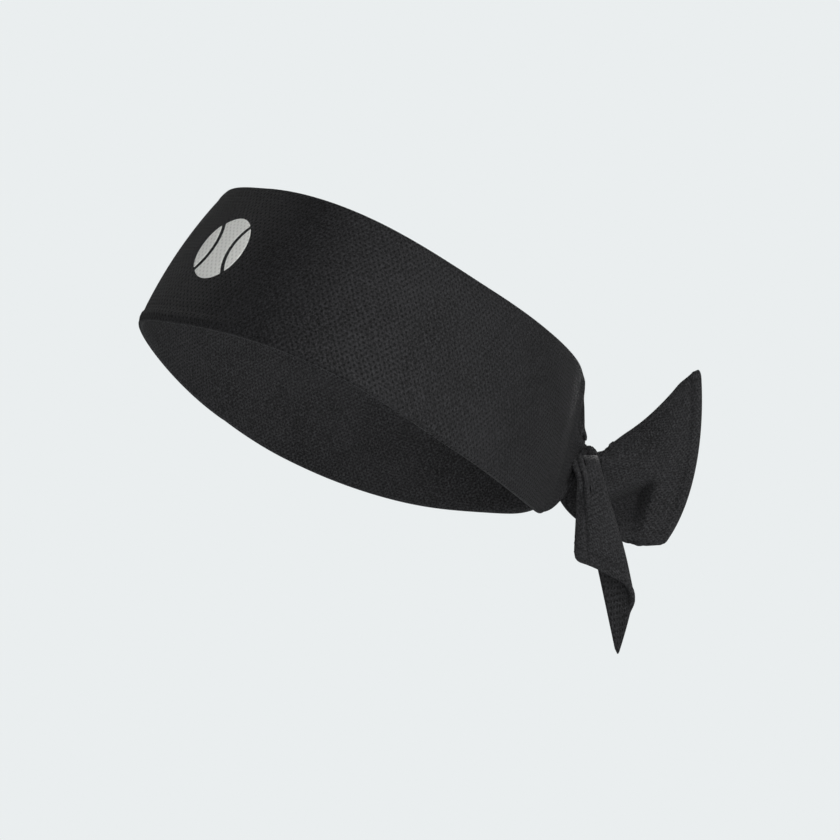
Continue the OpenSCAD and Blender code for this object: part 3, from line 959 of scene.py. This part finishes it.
u = np.linspace(stitch["edgeTop"], leftTail["short"] - seamIn + 1.5, 14)
wide = leftFold(u) - leftFree(u) - leftTail["foldRadius"]
s = np.linspace(*stitch["leftHem"], 24)
stitchLine("leftTailTopstitch", [stitchRow(leftAt, seamIn / wide * leftTail["foldFrom"], u),
                                 stitchRow(leftAt, s, leftEnd(s) - seamIn)],
           "left_tail", "left_tail_stitching")
last = 1 - seamIn / stitch["rightSpan"]
hemDown = np.full(60, last)
edgeDown = np.linspace(stitch["rightEdgeFrom"], last, 40)
stitchLine("rightTailTopstitch",
           [stitchRow(rightAt, np.linspace(*stitch["rightHem"], 60), hemDown),
            stitchRow(rightAt, np.full(40, stitch["rightEdge"]), edgeDown)],
           "right_tail", "right_tail_stitching")
for name in ("top_seam_thread", "bottom_seam_thread"):
    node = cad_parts[name]
    node.data.materials.clear()
    node.data.materials.append(sewingThread)
print("stitches made")

stageSize = {"floorDown": 360.0, "floorRadius": 1000.0, "floorSides": 96,
             "sky": (0.823, 0.855, 0.863), "fill": 0.04}


def floorDisc():
    size = stageSize
    turn = np.linspace(0, 360, size["floorSides"], endpoint=False)
    ring = np.stack([cosd(turn) * size["floorRadius"], sind(turn) * size["floorRadius"],
                     turn * 0 - size["floorDown"]], -1)
    faces = [tuple(range(size["floorSides"]))]
    newObject("studioFloor", ring, faces, floorMaterial("paleFloor"))


floorDisc()
# the sky is pale where it is seen, and gives only a little light
world = bpy.data.worlds.new("studioSky")
world.use_nodes = True
sky = Wire(world.node_tree, None)
seen = sky.node("ShaderNodeLightPath", {}, out=0)
pale = world.node_tree.nodes["Background"]
pale.inputs["Color"].default_value = (*stageSize["sky"], 1)
plug(seen * (1 - stageSize["fill"]) + stageSize["fill"], pale, "Strength")
bpy.context.scene.world = world


def softLight(name, azimuth, elevation, distance, size, power, aim=(0, 0.03, 0)):
    data = bpy.data.lights.new(name, "AREA")
    data.shape, data.size, data.size_y, data.energy = "RECTANGLE", size[0], size[1], power
    lamp = bpy.data.objects.new(name, data)
    level = cosd(elevation)
    out = Vector((sind(azimuth) * level, -cosd(azimuth) * level, sind(elevation)))
    lamp.location = Vector(aim) + out * distance
    lamp.rotation_euler = out.to_track_quat("Z", "Y").to_euler()
    bpy.context.scene.collection.objects.link(lamp)


softLight("keyLight", 60, 20, 1.3, (0.7, 0.7), 7)
softLight("rearKeyLight", 115, 20, 1.3, (0.7, 0.7), 6.5)
softLight("topLight", 60, 60, 1.3, (0.7, 0.7), 4)
softLight("lowLight", 72, -22, 0.75, (0.5, 0.4), 3.4)
softLight("rimLight", -70, 20, 1.3, (0.7, 0.7), 1.6)
softLight("backLight", 230, 30, 1.4, (0.7, 0.9), 10)

view = {"azimuth": 50.2, "elevation": -11.15, "roll": 19.96, "distance": 1000.0, "across": -20.0,
        "up": 32.4, "lens": 107.2}


def productCamera():
    az, el, roll = view["azimuth"], view["elevation"], view["roll"]
    right = np.array([cosd(az), sind(az), 0])
    back = np.array([sind(az) * cosd(el), -cosd(az) * cosd(el), sind(el)])
    up = np.cross(right, -back)
    turnedRight = cosd(roll) * right + sind(roll) * up
    turnedUp = -sind(roll) * right + cosd(roll) * up
    place = -view["across"] * turnedRight - view["up"] * turnedUp + view["distance"] * back
    data = bpy.data.cameras.new("productCamera")
    data.lens, data.sensor_width, data.clip_start = view["lens"], 36.0, 0.05
    camera = bpy.data.objects.new("productCamera", data)
    pose = Matrix([list(r) for r in zip(turnedRight, turnedUp, back)]).to_4x4()
    pose.translation = Vector(place * mm)
    camera.matrix_world = pose
    bpy.context.scene.collection.objects.link(camera)
    bpy.context.scene.camera = camera


productCamera()
bpy.context.scene.view_settings.view_transform = "Standard"
print("stage made")
